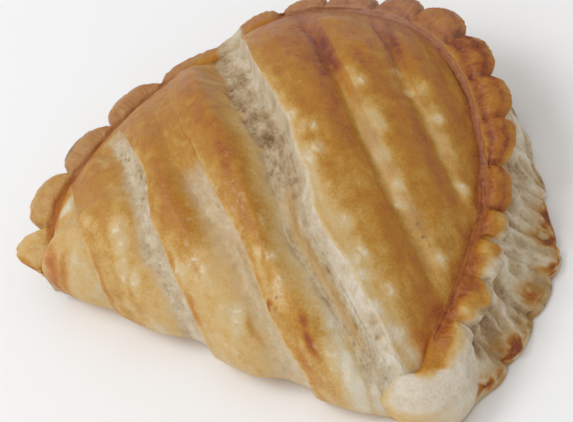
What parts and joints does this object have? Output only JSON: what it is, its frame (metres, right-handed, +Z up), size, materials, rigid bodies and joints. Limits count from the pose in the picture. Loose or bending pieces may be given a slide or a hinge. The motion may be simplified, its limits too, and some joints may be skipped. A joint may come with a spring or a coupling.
{
  "type": "fruit turnover",
  "caption": "Baked fruit turnover: a puffed half-moon of glazed flaky pastry, slashed across the top and crimped into lobes along its curved edge",
  "frame": {"origin": "middle of the length and depth of the piece, on the flat base that it rests on", "axes": "+X along the folded front edge, from the drawn-in corner to the full one, +Y from the fold to the crimped curved edge, +Z up"},
  "size_m": [0.1438, 0.111, 0.0422],
  "materials": {
    "crust": "satin"
  },
  "bodies": {
    "root": {"turnover": "crust"}
  },
  "joints": []
}
